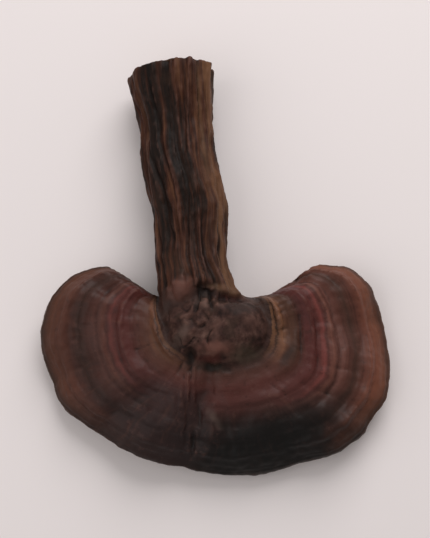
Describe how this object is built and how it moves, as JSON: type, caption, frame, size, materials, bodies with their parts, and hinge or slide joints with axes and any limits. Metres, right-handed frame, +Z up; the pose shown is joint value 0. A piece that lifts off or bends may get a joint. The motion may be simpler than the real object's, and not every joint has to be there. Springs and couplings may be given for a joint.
{
  "type": "dried reishi mushroom",
  "caption": "Dried woody fungus: a fluted stem, a knotted boss and a kidney-shaped cap with growth ledges, lying on its pore side.",
  "frame": {"origin": "middle of the bottom of its box, on the surface that it lies on", "axes": "+Y along the stem towards its cut end, +Z up through the cap's lacquered top, +X to the right with the cut end pointing away"},
  "size_m": [0.0648, 0.0776, 0.0162],
  "materials": {
    "bark": "satin lacquered crust, dark red-brown"
  },
  "bodies": {
    "root": {"reishi_mushroom": "bark"}
  },
  "joints": []
}
